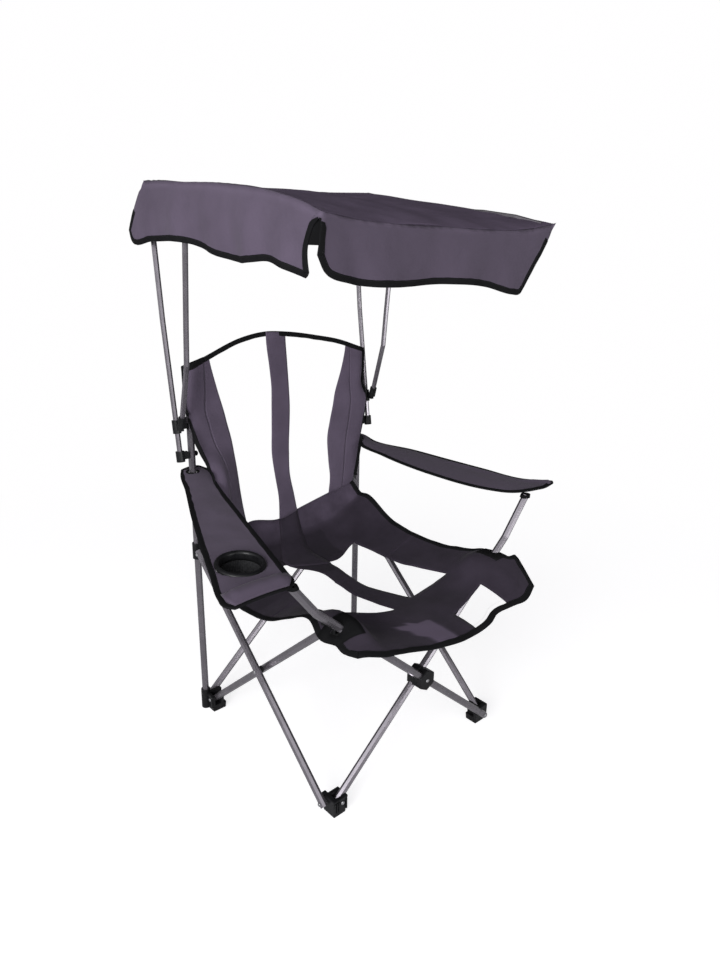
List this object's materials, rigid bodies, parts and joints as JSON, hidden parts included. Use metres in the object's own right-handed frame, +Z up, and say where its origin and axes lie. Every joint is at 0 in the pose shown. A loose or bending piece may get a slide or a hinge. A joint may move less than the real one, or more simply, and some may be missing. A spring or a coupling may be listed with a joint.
{
  "type": "folding chair with canopy",
  "caption": "Folding camp chair with crossing tube frame, cloth sling seat and back, armrests, a cup holder and a swinging cloth sun canopy on poles.",
  "frame": {"origin": "middle of the overall box, on the floor", "axes": "-Y is the way the chair faces, +Z is up, -X is the side with the cup holder"},
  "size_m": [1.0232, 0.785, 1.3593],
  "materials": {
    "black moulding": "glossy black",
    "grey painted tube": "satin grey paint",
    "rivet steel": "bright domed heads",
    "purple grey cloth": "plain weave",
    "black mesh": "black mesh"
  },
  "bodies": {
    "rear_left_foot": {"foot_rear_left": "black moulding", "post_left": "grey painted tube", "bracket_pin_left": "black moulding", "foot_rivet_rear_left_inner": "rivet steel", "foot_rivet_rear_left_outer": "rivet steel", "back_panel": "purple grey cloth"},
    "left_inner": {"left_tube_inner": "grey painted tube", "spacer_left": "black moulding", "crossing_rivet_left": "rivet steel"},
    "left_outer": {"left_tube_outer": "grey painted tube"},
    "front_left_foot": {"foot_front_left": "black moulding", "foot_rivet_front_left_inner": "rivet steel", "foot_rivet_front_left_outer": "rivet steel"},
    "front_left_hub": {"hub_front_left": "black moulding", "hub_rivet_front_left_inner": "rivet steel", "hub_rivet_front_left_outer": "rivet steel"},
    "rear_left_hub": {"hub_rear_left": "black moulding", "seat_panel": "purple grey cloth", "hub_rivet_rear_left_inner": "rivet steel", "hub_rivet_rear_left_outer": "rivet steel"},
    "rear_outer": {"rear_tube_outer": "grey painted tube"},
    "rear_inner": {"rear_tube_inner": "grey painted tube", "spacer_rear": "black moulding", "crossing_rivet_rear": "rivet steel"},
    "rear_right_foot": {"foot_rear_right": "black moulding", "post_right": "grey painted tube", "bracket_pin_right": "black moulding", "foot_rivet_rear_right_inner": "rivet steel", "foot_rivet_rear_right_outer": "rivet steel"},
    "rear_right_hub": {"hub_rear_right": "black moulding", "hub_rivet_rear_right_inner": "rivet steel", "hub_rivet_rear_right_outer": "rivet steel"},
    "right_outer": {"right_tube_outer": "grey painted tube"},
    "right_inner": {"right_tube_inner": "grey painted tube", "spacer_right": "black moulding", "crossing_rivet_right": "rivet steel"},
    "front_right_foot": {"foot_front_right": "black moulding", "foot_rivet_front_right_inner": "rivet steel", "foot_rivet_front_right_outer": "rivet steel"},
    "front_right_hub": {"hub_front_right": "black moulding", "hub_rivet_front_right_inner": "rivet steel", "hub_rivet_front_right_outer": "rivet steel"},
    "front_inner": {"front_tube_right_arm": "grey painted tube", "cross_hub_inner": "black moulding", "crossing_rivet_front": "rivet steel", "armrest_right": "purple grey cloth"},
    "front_outer": {"front_tube_left_arm": "grey painted tube", "cross_hub_outer": "black moulding", "armrest_left": "purple grey cloth", "cup_ring": "black moulding", "cup_bag": "black mesh"},
    "canopy_left": {"bracket_left": "black moulding", "clamp_left": "black moulding", "canopy_pole_rear_left": "grey painted tube", "canopy_pole_front_left": "grey painted tube", "canopy": "purple grey cloth"},
    "canopy_right": {"bracket_right": "black moulding", "clamp_right": "black moulding", "canopy_pole_rear_right": "grey painted tube", "canopy_pole_front_right": "grey painted tube"}
  },
  "joints": [
    {"name": "frame_fold", "type": "hinge", "parent": "rear_left_foot", "child": "left_inner", "pos_m": [-0.24501, 0.25661, 0.034], "axis": [-1, 0, 0], "range_deg": [0, 38], "deforming": ["seat_panel", "back_panel", "armrest_left", "armrest_right", "canopy", "cup_bag"]},
    {"name": "left_crossing", "type": "hinge", "parent": "left_inner", "child": "left_outer", "pos_m": [-0.26701, 0.01061, 0.253], "axis": [1, 0, 0], "range_deg": [0, 76]},
    {"name": "front_left_foot_turn", "type": "hinge", "parent": "left_outer", "child": "front_left_foot", "pos_m": [-0.26701, -0.23539, 0.034], "axis": [-1, 0, 0], "range_deg": [0, 38]},
    {"name": "front_left_hub_turn", "type": "hinge", "parent": "left_inner", "child": "front_left_hub", "pos_m": [-0.24501, -0.23539, 0.472], "axis": [1, 0, 0], "range_deg": [0, 38]},
    {"name": "rear_left_hub_turn", "type": "hinge", "parent": "left_outer", "child": "rear_left_hub", "pos_m": [-0.26701, 0.25661, 0.472], "axis": [-1, 0, 0], "range_deg": [0, 38]},
    {"name": "rear_fold", "type": "hinge", "parent": "rear_left_foot", "child": "rear_outer", "pos_m": [-0.23251, 0.29111, 0.034], "axis": [0, -1, 0], "range_deg": [0, 38]},
    {"name": "rear_crossing", "type": "hinge", "parent": "rear_outer", "child": "rear_inner", "pos_m": [0.01349, 0.26911, 0.253], "axis": [0, 1, 0], "range_deg": [0, 76]},
    {"name": "rear_right_foot_turn", "type": "hinge", "parent": "rear_inner", "child": "rear_right_foot", "pos_m": [0.25949, 0.26911, 0.034], "axis": [0, -1, 0], "range_deg": [0, 38]},
    {"name": "rear_right_hub_turn", "type": "hinge", "parent": "rear_outer", "child": "rear_right_hub", "pos_m": [0.25949, 0.29111, 0.472], "axis": [0, 1, 0], "range_deg": [0, 38]},
    {"name": "right_fold", "type": "hinge", "parent": "rear_right_foot", "child": "right_outer", "pos_m": [0.29399, 0.25661, 0.034], "axis": [-1, 0, 0], "range_deg": [0, 38]},
    {"name": "right_crossing", "type": "hinge", "parent": "right_outer", "child": "right_inner", "pos_m": [0.27199, 0.01061, 0.253], "axis": [1, 0, 0], "range_deg": [0, 76]},
    {"name": "front_right_foot_turn", "type": "hinge", "parent": "right_inner", "child": "front_right_foot", "pos_m": [0.27199, -0.23539, 0.034], "axis": [-1, 0, 0], "range_deg": [0, 38]},
    {"name": "front_right_hub_turn", "type": "hinge", "parent": "right_outer", "child": "front_right_hub", "pos_m": [0.29399, -0.23539, 0.472], "axis": [1, 0, 0], "range_deg": [0, 38]},
    {"name": "front_fold", "type": "hinge", "parent": "front_left_foot", "child": "front_inner", "pos_m": [-0.23251, -0.24789, 0.034], "axis": [0, -1, 0], "range_deg": [0, 38]},
    {"name": "front_crossing", "type": "hinge", "parent": "front_inner", "child": "front_outer", "pos_m": [0.01349, -0.26989, 0.253], "axis": [0, 1, 0], "range_deg": [0, 76]},
    {"name": "canopy_swing", "type": "hinge", "parent": "rear_left_foot", "child": "canopy_left", "pos_m": [-0.25901, 0.28311, 0.7286], "axis": [-1, 0, 0], "range_deg": [0, 100]},
    {"name": "canopy_swing_right", "type": "hinge", "parent": "rear_right_foot", "child": "canopy_right", "pos_m": [0.28599, 0.28311, 0.7286], "axis": [-1, 0, 0], "range_deg": [0, 100]}
  ],
  "couplings": [
    {"joint": "left_crossing", "follows": "frame_fold", "ratio": 2},
    {"joint": "front_left_foot_turn", "follows": "frame_fold", "ratio": 1},
    {"joint": "front_left_hub_turn", "follows": "frame_fold", "ratio": 1},
    {"joint": "rear_left_hub_turn", "follows": "frame_fold", "ratio": 1},
    {"joint": "rear_fold", "follows": "frame_fold", "ratio": 1},
    {"joint": "rear_crossing", "follows": "frame_fold", "ratio": 2},
    {"joint": "rear_right_foot_turn", "follows": "frame_fold", "ratio": 1},
    {"joint": "rear_right_hub_turn", "follows": "frame_fold", "ratio": 1},
    {"joint": "right_fold", "follows": "frame_fold", "ratio": 1},
    {"joint": "right_crossing", "follows": "frame_fold", "ratio": 2},
    {"joint": "front_right_foot_turn", "follows": "frame_fold", "ratio": 1},
    {"joint": "front_right_hub_turn", "follows": "frame_fold", "ratio": 1},
    {"joint": "front_fold", "follows": "frame_fold", "ratio": 1},
    {"joint": "front_crossing", "follows": "frame_fold", "ratio": 2},
    {"joint": "canopy_swing_right", "follows": "canopy_swing", "ratio": 1}
  ]
}
